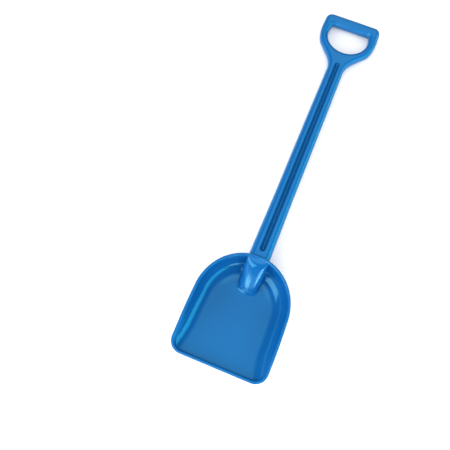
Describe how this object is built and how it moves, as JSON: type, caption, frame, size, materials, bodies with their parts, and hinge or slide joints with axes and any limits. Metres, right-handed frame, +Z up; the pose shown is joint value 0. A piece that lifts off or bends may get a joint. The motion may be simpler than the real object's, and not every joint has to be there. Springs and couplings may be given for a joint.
{
  "type": "toy shovel",
  "caption": "Child's moulded plastic shovel with a rimmed scoop, a socketed handle with a grooved shaft, and a D-shaped grip.",
  "frame": {"origin": "centre of the footprint, at the level of the table that the shovel lies on", "axes": "+Y from the scoop to the grip, +Z up out of the scoop's open side, +X across"},
  "size_m": [0.135, 0.55, 0.0365],
  "materials": {
    "blade_plastic": "satin gloss moulded polypropylene",
    "handle_plastic": "satin gloss moulded polypropylene",
    "screw_steel": "zinc-plated"
  },
  "bodies": {
    "root": {"blade": "blade_plastic", "handle": "handle_plastic", "rear_socket_screw": "screw_steel", "front_socket_screw": "screw_steel"}
  },
  "joints": []
}
